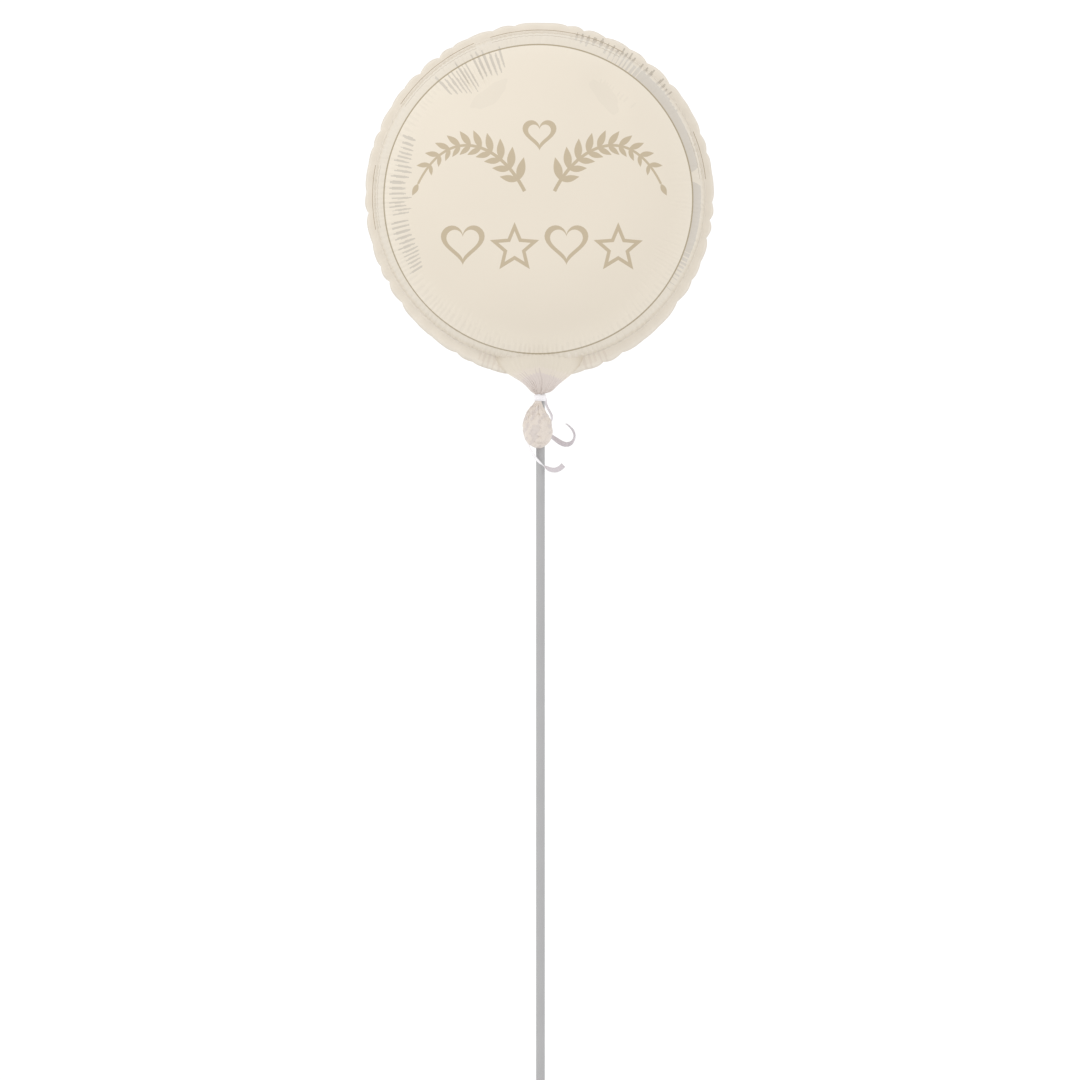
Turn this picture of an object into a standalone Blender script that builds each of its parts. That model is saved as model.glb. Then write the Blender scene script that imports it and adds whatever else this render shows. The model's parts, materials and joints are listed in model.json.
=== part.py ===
"""A round foil balloon on a stick, lying on its back.

Lengths are metres. The pieces are modelled in the balloon's own frame: X across the balloon,
Y along the stick towards the balloon, Z out of its face, with the middle of the balloon at
zero. An empty then tilts them, so that the object rests on the stick's lower end and on a
small flat spot of the balloon's back, and brings the middle of its box down to the origin.
"""
import math

import bmesh
import bpy
from mathutils import Vector

# The foil envelope: two flat discs welded round their edge, then filled
FLAT_DIAMETER = 0.457
SEAM_WIDTH = 0.009
INFLATED_SHARE = 0.7627
SEAM_RADIUS = (FLAT_DIAMETER / 2 - SEAM_WIDTH) * INFLATED_SHARE
EDGE_RADIUS = SEAM_RADIUS + SEAM_WIDTH

# The welded seam crimps into waves, because the filled balloon is narrower than its discs
FRILL_WAVES = 48
FRILL_THICKNESS = 0.0012
FRILL_DEPTH = 0.0018
SCALLOP_DEPTH = 0.0024
SCALLOP_LAG = 0.6
PLEAT_DEPTH = 0.0012
PLEATS_FROM = 0.84

# How the waves bunch up and how the scallops vary: by how much, how often round, from where
FRILL_SWAYS = ((1.1, 3, 0.8), (0.9, 8, 2.1))
SCALLOP_VARIES = (0.25, 5, 1.3)

# The seam is wider round the neck, where both discs run out into it
NECK_FLARE = 0.006
NECK_FLARE_SPREAD = math.radians(40)

# The balloon's back gives a little where it lies on the ground
FLAT_SPOT_PRESS = 0.004

# The neck, gathered by the ribbon, and the loose end of the foil below it
NECK_LENGTH = 0.0263
NECK_DIAMETER = 0.006
NECK_OFF_AXIS = -0.0012
SKIRT_HALF_WIDTH = 0.031
SKIRT_LEAN = 0.0035
SKIRT_DEPTH = 0.018
SKIRT_BULGE = 0.8
SEAM_SWELL = 1.4
SEAM_SPREAD = 1.1
ROOT_SWELL = 1.6
ROOT_LENGTH = 0.022
TAIL_LENGTH = 0.0475
TAIL_WIDTH = 0.0302
TAIL_DEPTH = 0.011
TAIL_DROOP = 1.55
TAIL_ROUNDNESS = 0.4
NECK_SIDES = 24

# The stick, tied on behind the neck
STICK_DIAMETER = 0.00885
STICK_LENGTH = 0.745
STICK_OFF_AXIS = 0.00096
STICK_PAST_TIE = 0.014
STICK_END_BEVEL = 0.0006
STICK_SIDES = 24

# The ribbon: wound round neck and stick, knotted behind, with two curled ends
TIE_WIDTH = 0.0068
TIE_THICKNESS = 0.0008
TIE_POINTS = 48
KNOT_LENGTH = 0.0078
KNOT_HEIGHT = 0.0052
KNOT_DEPTH = 0.004
RIBBON_WIDTH = 0.0052
RIBBON_THICKNESS = 0.0004
RIBBON_STEP = 0.0025

# Meshed pieces that touch keep this much air
GAP = 0.0003

NECK_RADIUS = NECK_DIAMETER / 2
STICK_RADIUS = STICK_DIAMETER / 2
TIE_Y = -(EDGE_RADIUS + NECK_LENGTH)
STICK_TOP_Y = TIE_Y + STICK_PAST_TIE
STICK_END_Y = STICK_TOP_Y - STICK_LENGTH
STICK_Z = -(NECK_RADIUS + GAP + STICK_RADIUS)
KNOT_SUNK_IN_TIE = 0.4
KNOT_Z = STICK_Z - STICK_RADIUS - GAP - TIE_THICKNESS - KNOT_DEPTH / 2 * (1 - KNOT_SUNK_IN_TIE)

# Rings of the envelope, as shares of the seam's radius; the outer ones carry the pleats
SMOOTH_RING_SHARES = (0.18, 0.34, 0.48, 0.60, 0.71)
PLEATED_RING_SHARES = (0.79, 0.86, 0.915, 0.955, 0.982, 0.996)

# Sections of the skirt, as shares of its length above the stick's top and beside it, and of
# the loose end, as shares of its length
SKIRT_SHARES_ABOVE_STICK = (1.0, 0.66, 0.33)
SKIRT_SHARES_BESIDE_STICK = (1.0, 0.6, 0.25)
TAIL_SHARES = (0.07, 0.15, 0.25, 0.36, 0.48, 0.60, 0.72, 0.82, 0.90, 0.96, 0.99)

# The two loose ends of the ribbon, from the knot: across, along the stick, towards the face
UPPER_CURL = (
    (0.0050, -0.0010, -0.0002), (0.0052, -0.0066, -0.0012), (0.0084, -0.0126, -0.0032),
    (0.0117, -0.0182, -0.0062), (0.0115, -0.0233, -0.0107), (0.0081, -0.0273, -0.0162),
    (0.0048, -0.0303, -0.0227), (0.0048, -0.0339, -0.0297), (0.0092, -0.0374, -0.0347),
    (0.0162, -0.0425, -0.0347), (0.0243, -0.0480, -0.0297), (0.0327, -0.0465, -0.0217),
    (0.0357, -0.0379, -0.0147), (0.0319, -0.0303, -0.0097), (0.0263, -0.0263, -0.0067))
UPPER_CURL_LEANS = ((0.6, 0.2, -0.7), (0.0, 0.9, -0.43))
LOWER_CURL = (
    (-0.0046, -0.0010, -0.0002), (-0.0060, -0.0076, -0.0027), (-0.0095, -0.0177, -0.0052),
    (-0.0131, -0.0298, -0.0042), (-0.0141, -0.0409, 0.0013), (-0.0121, -0.0511, 0.0098),
    (-0.0065, -0.0596, 0.0168), (0.0011, -0.0682, 0.0188), (0.0097, -0.0736, 0.0138),
    (0.0177, -0.0736, 0.0063), (0.0233, -0.0682, 0.0013))
LOWER_CURL_LEANS = ((0.0, 0.0, -1.0), (0.0, 0.9, -0.43))
TWIST_STARTS = 0.10
TWIST_ENDS = 0.65


def clear_scene():
    for old in list(bpy.data.objects):
        bpy.data.objects.remove(old)


def make_collection(name):
    collection = bpy.data.collections.new(name)
    bpy.context.scene.collection.children.link(collection)
    return collection


def make_material(name, colour, roughness, metallic=0.0):
    material = bpy.data.materials.new(name)
    material.use_nodes = True
    shader = material.node_tree.nodes["Principled BSDF"]
    shader.inputs["Base Color"].default_value = (*colour, 1.0)
    shader.inputs["Roughness"].default_value = roughness
    shader.inputs["Metallic"].default_value = metallic
    material.diffuse_color = (*colour, 1.0)
    return material


def mesh_object(name, bm, frame, collection, material=None):
    """Turn a bmesh into a smooth-shaded object in the balloon's frame."""
    bmesh.ops.recalc_face_normals(bm, faces=bm.faces)
    mesh = bpy.data.meshes.new(name)
    bm.to_mesh(mesh)
    bm.free()
    mesh.shade_smooth()
    mesh.set_sharp_from_angle(angle=math.radians(40))
    piece = bpy.data.objects.new(name, mesh)
    collection.objects.link(piece)
    piece.parent = frame
    if material:
        mesh.materials.append(material)
    return piece


def make_helper(piece):
    piece.hide_render = True
    piece.display_type = "WIRE"


def unite(piece, helper):
    """Join a helper's solid to a piece as one body."""
    make_helper(helper)
    union = piece.modifiers.new("join", "BOOLEAN")
    union.operation = "UNION"
    union.solver = "EXACT"
    union.object = helper


def lens_slope(share):
    """Slope of the skin where its radius is this share of the seam's."""
    return math.asin(share * share)


def lens_depth(slope):
    """Half the balloon's depth where the skin slopes by this angle.

    Foil doesn't stretch, so a filled round balloon takes the shape whose radius goes with
    the square root of the slope's sine, and whose depth is that root's integral.
    """
    steps = 64
    width = (math.pi / 2 - slope) / steps
    total = sum(math.sqrt(math.sin(slope + (step + 0.5) * width)) for step in range(steps))
    return SEAM_RADIUS / 2 * total * width


def lens_reach(tilt):
    """How far the back stands out from the middle, straight down, when tilted."""
    radius = SEAM_RADIUS * math.sqrt(math.sin(tilt))
    return radius * math.sin(tilt) + lens_depth(tilt) * math.cos(tilt)


def stick_reach(tilt):
    """How far the stick's lower end is below the middle of the balloon when tilted."""
    along = -(STICK_END_Y + STICK_END_BEVEL)
    return along * math.sin(tilt) + (STICK_RADIUS - STICK_Z) * math.cos(tilt)


def resting_tilt():
    """The tilt at which the flat spot and the stick's end touch the ground together."""
    low, high = 0.0, math.radians(60)
    for _ in range(60):
        tilt = (low + high) / 2
        if lens_reach(tilt) - FLAT_SPOT_PRESS > stick_reach(tilt):
            low = tilt
        else:
            high = tilt
    return (low + high) / 2


TILT = resting_tilt()
HEIGHT = lens_reach(TILT) - FLAT_SPOT_PRESS
UP = Vector((0.0, math.sin(TILT), math.cos(TILT)))


def above_ground(point):
    """Move a point that would be under the ground straight up to it."""
    under = -HEIGHT - UP.dot(point)
    if under > 0:
        return point + UP * under
    return point


def frill_phase(angle):
    """The waves round the seam are uneven, as crimped foil is."""
    sway = sum(size * math.sin(times * angle + start) for size, times, start in FRILL_SWAYS)
    return FRILL_WAVES * angle + sway


def edge_radius(angle):
    size, times, start = SCALLOP_VARIES
    strength = 1 - size + size * math.sin(times * angle + start)
    dip = 0.5 + 0.5 * math.cos(frill_phase(angle) + SCALLOP_LAG)
    from_neck = min(angle, math.tau - angle) / NECK_FLARE_SPREAD
    flare = NECK_FLARE * math.exp(-from_neck * from_neck)
    return EDGE_RADIUS + flare - SCALLOP_DEPTH * dip * strength


def add_ring(bm, count, radius_at, depth_at):
    """A ring of points, counted round from the neck."""
    ring = []
    for index in range(count):
        angle = math.tau * index / count
        radius = radius_at(index, angle)
        point = Vector((radius * math.sin(angle), -radius * math.cos(angle), depth_at(angle)))
        ring.append(bm.verts.new(above_ground(point)))
    return ring


def stitch(bm, inner, outer):
    """Faces between two rings, the outer with as many points or twice as many."""
    count = len(inner)
    if len(outer) == count:
        for index in range(count):
            after = (index + 1) % count
            bm.faces.new((inner[index], outer[index], outer[after], inner[after]))
        return
    for index in range(count):
        after = (index + 1) % count
        middle = outer[2 * index + 1]
        bm.faces.new((inner[index], outer[2 * index], middle))
        bm.faces.new((inner[index], middle, inner[after]))
        bm.faces.new((inner[after], middle, outer[2 * after]))


def lens_rings(bm, side):
    """The rings of one foil disc, from its middle to the seam; side is 1 or -1."""
    rings = []
    for share in SMOOTH_RING_SHARES:
        depth = side * lens_depth(lens_slope(share))
        radius = SEAM_RADIUS * share
        rings.append(add_ring(bm, FRILL_WAVES, lambda i, a: radius, lambda a: depth))
    for share in PLEATED_RING_SHARES + (1.0,):
        depth = side * max(lens_depth(lens_slope(share)), FRILL_THICKNESS / 2)
        radius = SEAM_RADIUS * share
        fold = PLEAT_DEPTH * max(0.0, (share - PLEATS_FROM) / (1 - PLEATS_FROM))
        ring = add_ring(bm, 2 * FRILL_WAVES, lambda i, a: radius - fold * (i % 2), lambda a: depth)
        rings.append(ring)
    return rings


def build_envelope(frame, collection, material):
    """Both filled discs with the crimped seam between them, as one closed skin."""
    bm = bmesh.new()
    edges = {}
    for side in (1, -1):
        pole = bm.verts.new(above_ground(Vector((0.0, 0.0, side * lens_depth(0.0)))))
        rings = lens_rings(bm, side)
        first = rings[0]
        for index in range(len(first)):
            bm.faces.new((pole, first[index], first[(index + 1) % len(first)]))
        for inner, outer in zip(rings, rings[1:]):
            stitch(bm, inner, outer)
        lift = side * FRILL_THICKNESS / 2
        edge = add_ring(bm, 4 * FRILL_WAVES, lambda i, a: edge_radius(a),
                        lambda a: lift + FRILL_DEPTH * math.sin(frill_phase(a)))
        stitch(bm, rings[-1], edge)
        edges[side] = edge
    stitch(bm, edges[1], edges[-1])
    return mesh_object("foil_balloon", bm, frame, collection, material)


def skirt_sections(top_y, bottom_y):
    """The skirt from the frill to the tie; its back stays in front of the stick's top."""
    beside_stick = (STICK_TOP_Y + 2 * GAP - bottom_y) / (top_y - bottom_y)
    shares = [beside_stick + (1 - beside_stick) * part for part in SKIRT_SHARES_ABOVE_STICK]
    shares += [beside_stick * part for part in SKIRT_SHARES_BESIDE_STICK]
    sections = []
    for share in shares:
        y = bottom_y + (top_y - bottom_y) * share
        middle = NECK_OFF_AXIS + (SKIRT_LEAN - NECK_OFF_AXIS) * share
        half_width = NECK_RADIUS + (SKIRT_HALF_WIDTH - NECK_RADIUS) * share
        front = NECK_RADIUS + (SKIRT_DEPTH - NECK_RADIUS) * share ** SKIRT_BULGE
        free = max(0.0, (share - beside_stick) / (1 - beside_stick))
        back = NECK_RADIUS + (SKIRT_DEPTH - NECK_RADIUS) * free
        sections.append((y, middle, half_width, front, back))
    return sections


def tail_sections(top_y):
    """The egg-shaped loose end, widest towards its tip and flat behind."""
    sections = []
    for share in TAIL_SHARES:
        fullness = math.sin(math.pi * share ** TAIL_DROOP) ** TAIL_ROUNDNESS
        front = TAIL_DEPTH * fullness
        back = min(NECK_RADIUS, front)
        y = top_y - TAIL_LENGTH * share
        sections.append((y, NECK_OFF_AXIS, TAIL_WIDTH / 2 * fullness, front, back))
    return sections


def add_section(bm, y, middle, half_width, front, back):
    """A closed section of the neck, with its own depth in front and behind."""
    section = []
    for index in range(NECK_SIDES):
        turn = math.tau * index / NECK_SIDES
        depth = front if math.sin(turn) > 0 else back
        across = middle + half_width * math.cos(turn)
        section.append(bm.verts.new((across, y, depth * math.sin(turn))))
    return section


def build_neck(frame, collection):
    """The gathered neck: inside the balloon, down through the tie, out to the loose end."""
    above_tie = TIE_Y + TIE_WIDTH / 2
    below_tie = TIE_Y - TIE_WIDTH / 2
    root_depth = SKIRT_DEPTH * ROOT_SWELL
    seam_depth = SKIRT_DEPTH * SEAM_SWELL
    sections = [
        (ROOT_LENGTH - SEAM_RADIUS, SKIRT_LEAN, SKIRT_HALF_WIDTH, root_depth, root_depth),
        (-SEAM_RADIUS, SKIRT_LEAN, SKIRT_HALF_WIDTH * SEAM_SPREAD, seam_depth, seam_depth)]
    sections += skirt_sections(-EDGE_RADIUS, above_tie)
    for y in (above_tie, below_tie):
        sections.append((y, NECK_OFF_AXIS, NECK_RADIUS, NECK_RADIUS, NECK_RADIUS))
    sections += tail_sections(below_tie)

    bm = bmesh.new()
    rings = [add_section(bm, *section) for section in sections]
    for upper, lower in zip(rings, rings[1:]):
        stitch(bm, upper, lower)
    bm.faces.new(rings[0])
    tip = bm.verts.new((NECK_OFF_AXIS, below_tie - TAIL_LENGTH, 0.0))
    last = rings[-1]
    for index in range(len(last)):
        bm.faces.new((last[index], tip, last[(index + 1) % len(last)]))
    return mesh_object("neck_shape", bm, frame, collection)


def build_stick(frame, collection, material):
    bpy.ops.mesh.primitive_cylinder_add(vertices=STICK_SIDES, radius=STICK_RADIUS, depth=STICK_LENGTH)
    stick = bpy.context.object
    stick.name = "balloon_stick"
    stick.data.name = "balloon_stick"
    for other in list(stick.users_collection):
        other.objects.unlink(stick)
    collection.objects.link(stick)
    stick.parent = frame
    stick.location = (STICK_OFF_AXIS, (STICK_TOP_Y + STICK_END_Y) / 2, STICK_Z)
    stick.rotation_euler = (math.pi / 2, 0.0, 0.0)
    bevel = stick.modifiers.new("soft_ends", "BEVEL")
    bevel.width = STICK_END_BEVEL
    bevel.segments = 2
    bevel.limit_method = "ANGLE"
    bevel.angle_limit = math.radians(60)
    stick.data.shade_smooth()
    stick.data.set_sharp_from_angle(angle=math.radians(40))
    stick.data.materials.append(material)
    return stick


def around_neck_and_stick(turn, clearance):
    """A point of the taut outline round neck and stick, for a direction in their section."""
    outward = Vector((math.cos(turn), 0.0, math.sin(turn)))
    neck = Vector((NECK_OFF_AXIS, TIE_Y, 0.0))
    stick = Vector((STICK_OFF_AXIS, TIE_Y, STICK_Z))
    if neck.dot(outward) + NECK_RADIUS > stick.dot(outward) + STICK_RADIUS:
        return neck + outward * (NECK_RADIUS + clearance)
    return stick + outward * (STICK_RADIUS + clearance)


def build_tie(frame, collection, helpers, material):
    """The wound ribbon, a closed band round neck and stick, with its knot behind."""
    bm = bmesh.new()
    half = Vector((0.0, TIE_WIDTH / 2, 0.0))
    outer = GAP + TIE_THICKNESS
    loops = []
    for clearance, end in ((GAP, 1), (GAP, -1), (outer, -1), (outer, 1)):
        loop = []
        for index in range(TIE_POINTS):
            turn = math.tau * (index + 0.5) / TIE_POINTS
            loop.append(bm.verts.new(around_neck_and_stick(turn, clearance) + half * end))
        loops.append(loop)
    for first, second in zip(loops, loops[1:] + loops[:1]):
        stitch(bm, first, second)
    tie = mesh_object("ribbon_tie", bm, frame, collection, material)
    knot = bmesh.new()
    bmesh.ops.create_uvsphere(knot, u_segments=16, v_segments=10, radius=1)
    knot_radii = (KNOT_LENGTH / 2, KNOT_HEIGHT / 2, KNOT_DEPTH / 2)
    bmesh.ops.scale(knot, vec=knot_radii, verts=knot.verts)
    bmesh.ops.translate(knot, vec=(STICK_OFF_AXIS, TIE_Y, KNOT_Z), verts=knot.verts)
    unite(tie, mesh_object("knot_shape", knot, frame, helpers))
    return tie


def smooth_route(points):
    """Points of an even cubic B-spline that starts and ends at the route's own ends."""
    held = [points[0]] * 2 + list(points) + [points[-1]] * 2
    fine = []
    parts = 24
    for before, start, end, after in zip(held, held[1:], held[2:], held[3:]):
        for part in range(parts):
            t = part / parts
            fine.append((
                before * (1 - t) ** 3 + start * (3 * t ** 3 - 6 * t ** 2 + 4)
                + end * (-3 * t ** 3 + 3 * t ** 2 + 3 * t + 1) + after * t ** 3) / 6)
    fine.append(points[-1].copy())
    return fine


def evenly_spaced(fine, step):
    """The same route with points at equal distances."""
    run = [0.0]
    for first, second in zip(fine, fine[1:]):
        run.append(run[-1] + (second - first).length)
    count = max(2, round(run[-1] / step))
    even = []
    index = 0
    for place in range(count + 1):
        goal = run[-1] * place / count
        while index < len(run) - 2 and run[index + 1] < goal:
            index += 1
        span = run[index + 1] - run[index]
        share = (goal - run[index]) / span if span > 0 else 0.0
        even.append(fine[index].lerp(fine[index + 1], min(1.0, share)))
    return even


def build_curl(name, offsets, leans, frame, collection, material):
    """A flat ribbon along its route, turning from one lean of its width to the other."""
    knot = Vector((STICK_OFF_AXIS, TIE_Y, KNOT_Z))
    route = evenly_spaced(smooth_route([knot + Vector(offset) for offset in offsets]), RIBBON_STEP)
    last = len(route) - 1
    bm = bmesh.new()
    sections = []
    for index, point in enumerate(route):
        turn = (index / last - TWIST_STARTS) / (TWIST_ENDS - TWIST_STARTS)
        turn = min(1.0, max(0.0, turn))
        turn = turn * turn * (3 - 2 * turn)
        lean = Vector(leans[0]).lerp(Vector(leans[1]), turn)
        ahead = route[min(index + 1, last)] - route[max(index - 1, 0)]
        flat = ahead.cross(lean).normalized()
        across = flat.cross(ahead).normalized() * RIBBON_WIDTH / 2
        thick = flat * RIBBON_THICKNESS / 2
        corners = (across + thick, across - thick, -across - thick, thick - across)
        sections.append([bm.verts.new(point + corner) for corner in corners])
    for first, second in zip(sections, sections[1:]):
        stitch(bm, first, second)
    bm.faces.new(sections[0])
    bm.faces.new(sections[-1])
    return mesh_object(name, bm, frame, collection, material)


def bring_to_origin(frame, pieces):
    """Set the frame so that the middle of the pieces' box is over the origin."""
    bpy.context.view_layer.update()
    depsgraph = bpy.context.evaluated_depsgraph_get()
    corners = []
    for piece in pieces:
        ready = piece.evaluated_get(depsgraph)
        mesh = ready.to_mesh()
        corners += [ready.matrix_world @ vertex.co for vertex in mesh.vertices]
        ready.to_mesh_clear()
    xs = [corner.x for corner in corners]
    ys = [corner.y for corner in corners]
    frame.location.x -= (min(xs) + max(xs)) / 2
    frame.location.y -= (min(ys) + max(ys)) / 2


def build():
    clear_scene()
    pieces = make_collection("round_foil_balloon")
    helpers = make_collection("helpers")
    foil = make_material("cream_foil", (0.80, 0.72, 0.60), 0.35, 0.2)
    plastic = make_material("grey_plastic", (0.48, 0.48, 0.48), 0.5)
    white = make_material("white_ribbon", (0.92, 0.90, 0.92), 0.35)

    frame = bpy.data.objects.new("balloon_frame", None)
    pieces.objects.link(frame)
    frame.rotation_euler = (TILT, 0.0, 0.0)
    frame.location = (0.0, 0.0, HEIGHT)

    balloon = build_envelope(frame, pieces, foil)
    unite(balloon, build_neck(frame, helpers))
    stick = build_stick(frame, pieces, plastic)
    tie = build_tie(frame, pieces, helpers, white)
    build_curl("ribbon_curl_upper", UPPER_CURL, UPPER_CURL_LEANS, frame, pieces, white)
    build_curl("ribbon_curl_lower", LOWER_CURL, LOWER_CURL_LEANS, frame, pieces, white)
    bring_to_origin(frame, (balloon, stick, tie))


build()
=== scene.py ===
"""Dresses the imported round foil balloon: foil, print, neck, ribbon, stick, floor and light.

Lengths are metres. Most pieces are made in the balloon's own frame: X across the balloon,
Y along the stick towards the balloon, Z out of its face, the balloon's middle at zero.
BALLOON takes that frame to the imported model's frame, where the balloon lies on its back.
Angles round the balloon are counted from the neck, and grow towards the right.
"""
import json
import math

import bpy
import numpy as np
from mathutils import Matrix, Vector, noise
from mathutils.geometry import delaunay_2d_cdt


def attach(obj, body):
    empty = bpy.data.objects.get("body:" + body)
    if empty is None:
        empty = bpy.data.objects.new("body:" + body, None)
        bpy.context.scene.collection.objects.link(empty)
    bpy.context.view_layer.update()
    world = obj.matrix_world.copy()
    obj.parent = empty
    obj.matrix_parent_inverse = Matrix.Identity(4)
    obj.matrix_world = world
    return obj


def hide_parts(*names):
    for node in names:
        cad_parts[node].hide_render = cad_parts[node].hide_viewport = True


# The balloon's sizes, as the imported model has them
SEAM_RADIUS = 0.16741
SEAM_WIDTH = 0.009
EDGE_RADIUS = SEAM_RADIUS + SEAM_WIDTH
SEAM_HALF_THICKNESS = 0.00015
SEAM_WAVE = 0.0004
FRILL_WAVES = 48
EDGE_NOTCH = 0.0025
NECK_FLARE = 0.006
NECK_FLARE_SPREAD = math.radians(40)
NECK_LENGTH = 0.0263
NECK_RADIUS = 0.003
NECK_OFF_AXIS = -0.0012
TIE_Y = -(EDGE_RADIUS + NECK_LENGTH)
TIE_WIDTH = 0.0068
STICK_RADIUS = 0.004425
STICK_LENGTH = 0.745
STICK_OFF_AXIS = 0.00096
STICK_PAST_TIE = 0.014
GAP = 0.0003
STICK_Z = -(NECK_RADIUS + GAP + STICK_RADIUS)
STICK_END_Y = TIE_Y + STICK_PAST_TIE - STICK_LENGTH
KNOT_Z = -0.01445

# The ribbon's loose ends, from the knot: across, along the stick, towards the face
RIBBON_WIDTH = 0.0052
RIBBON_THICKNESS = 0.0003
RIBBON_CUP = 0.0002
RIBBON_STEP = 0.0008
UPPER_CURL = (
    (0.0050, -0.0010, -0.0002), (0.0052, -0.0066, -0.0012), (0.0084, -0.0126, -0.0032),
    (0.0117, -0.0182, -0.0062), (0.0115, -0.0233, -0.0107), (0.0081, -0.0273, -0.0162),
    (0.0048, -0.0303, -0.0227), (0.0048, -0.0339, -0.0297), (0.0092, -0.0374, -0.0347),
    (0.0162, -0.0425, -0.0347), (0.0243, -0.0480, -0.0297), (0.0327, -0.0465, -0.0217),
    (0.0357, -0.0379, -0.0147), (0.0319, -0.0303, -0.0097), (0.0263, -0.0263, -0.0067))
UPPER_CURL_LEANS = ((0.35, 0.1, -0.92), (0.0, 0.9, -0.43), (-0.55, 0.12, -0.75))
UPPER_CURL_TWISTS = ((0.10, 0.65), (0.74, 0.92))
LOWER_CURL = (
    (-0.0046, -0.0010, -0.0002), (-0.0060, -0.0076, -0.0027), (-0.0095, -0.0177, -0.0052),
    (-0.0131, -0.0298, -0.0042), (-0.0141, -0.0409, 0.0013), (-0.0121, -0.0511, 0.0098),
    (-0.0065, -0.0596, 0.0168), (0.0011, -0.0682, 0.0188), (0.0097, -0.0736, 0.0138),
    (0.0177, -0.0736, 0.0063), (0.0233, -0.0682, 0.0013))
LOWER_CURL_LEANS = ((-0.3, -0.3, -0.9), (0.0, 0.9, -0.43))
LOWER_CURL_TWISTS = ((0.68, 0.82),)

# The camera looks straight at the face from far off
CAMERA_DISTANCE = 12.0
CAMERA_AIM = (0.0005, -0.3467, 0.0)
CAMERA_VIEW_WIDTH = 1.0918
SENSOR_WIDTH = 36.0
CAMERA_REACH = 100.0

# The print: one ring line, an ornament, and fine lines along the rim
RING_LINE_SHARE = 0.9293
RING_LINE_WIDTH = 0.0014
RING_OFFSET = (-0.0013, -0.0036)
FINE_LINE_SHARES = ((0.9747, 0.9765), (0.9891, 0.9907))
FINE_LINE_FRILL_SHARES = (0.13, 0.19)
FINE_LINE_ARCS = ((96, 113), (150, 197), (203, 236), (259, 281))

# The mesh of the envelope
COLUMNS = 1280
PRINT_DISC_SHARE = 0.835
PLEATS = 183

# How far above the ground every piece made here stays
GROUND_GAP = 0.0002


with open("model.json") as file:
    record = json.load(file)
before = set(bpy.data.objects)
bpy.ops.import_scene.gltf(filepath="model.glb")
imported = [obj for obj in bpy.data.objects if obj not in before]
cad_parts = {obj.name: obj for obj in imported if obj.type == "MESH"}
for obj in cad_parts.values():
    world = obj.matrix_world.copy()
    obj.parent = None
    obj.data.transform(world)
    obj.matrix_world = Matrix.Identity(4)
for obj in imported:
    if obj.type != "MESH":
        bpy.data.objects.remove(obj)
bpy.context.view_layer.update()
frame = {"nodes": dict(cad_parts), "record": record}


def balloon_frame():
    """The balloon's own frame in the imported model, found from where the stick ends."""
    end = next(mount for mount in frame["record"]["mounts"] if mount["name"] == "stick_end")
    down = Vector(end["axis"])
    turn = Matrix.Rotation(math.atan2(-down.z, -down.y), 4, "X")
    place = Vector(end["pos_m"]) - turn @ Vector((STICK_OFF_AXIS, STICK_END_Y, STICK_Z))
    return Matrix.Translation(place) @ turn


BALLOON = balloon_frame()


def smoothstep(low, high, value):
    share = np.clip((value - low) / (high - low), 0.0, 1.0)
    return share * share * (3 - 2 * share)


def around(count):
    """Even angles for so many points round a full turn."""
    return np.arange(count) * math.tau / count


def across_and_up(radius, angle):
    """A place at an angle from the neck: across the balloon, and up from its middle."""
    return radius * np.sin(angle), -radius * np.cos(angle)


def directions(line):
    """Unit directions along a line of points."""
    ahead = np.gradient(line, axis=0)
    return ahead / np.linalg.norm(ahead, axis=1)[:, None]


def turned(shape, degrees):
    """A flat outline, turned about zero."""
    turn = math.radians(degrees)
    cosine, sine = math.cos(turn), math.sin(turn)
    return shape @ np.array(((cosine, sine), (-sine, cosine)))


def new_piece(name, vertices, faces, materials, node, face_slots=None):
    """A mesh piece given in the balloon's frame, riding on the part in place of a CAD node."""
    mesh = bpy.data.meshes.new(name)
    mesh.from_pydata([tuple(vertex) for vertex in vertices], [], faces)
    mesh.transform(BALLOON)
    places = np.empty(3 * len(mesh.vertices), dtype=np.float32)
    mesh.vertices.foreach_get("co", places)
    places[2::3] = np.maximum(places[2::3], GROUND_GAP)
    mesh.vertices.foreach_set("co", places)
    for material in materials:
        mesh.materials.append(material)
    if face_slots is not None:
        mesh.polygons.foreach_set("material_index", np.asarray(face_slots, dtype=np.int32))
    mesh.shade_smooth()
    mesh.update()
    piece = bpy.data.objects.new(name, mesh)
    bpy.context.scene.collection.objects.link(piece)
    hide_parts(node)
    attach(piece, "root")
    return piece


# Camera

def add_camera():
    data = bpy.data.cameras.new("photo_camera")
    data.sensor_width = SENSOR_WIDTH
    data.lens = SENSOR_WIDTH * CAMERA_DISTANCE / CAMERA_VIEW_WIDTH
    data.clip_end = CAMERA_REACH
    camera = bpy.data.objects.new("photo_camera", data)
    aim = Vector(CAMERA_AIM) + Vector((0.0, 0.0, CAMERA_DISTANCE))
    camera.matrix_world = BALLOON @ Matrix.Translation(aim)
    bpy.context.scene.collection.objects.link(camera)
    bpy.context.scene.camera = camera


# Materials

def new_material(name, colour, roughness, metallic=0.0, coat=0.0, coat_roughness=0.05):
    material = bpy.data.materials.new(name)
    material.use_nodes = True
    shader = material.node_tree.nodes["Principled BSDF"]
    shader.inputs["Base Color"].default_value = (*colour, 1.0)
    shader.inputs["Roughness"].default_value = roughness
    shader.inputs["Metallic"].default_value = metallic
    shader.inputs["Coat Weight"].default_value = coat
    shader.inputs["Coat Roughness"].default_value = coat_roughness
    return material


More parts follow.
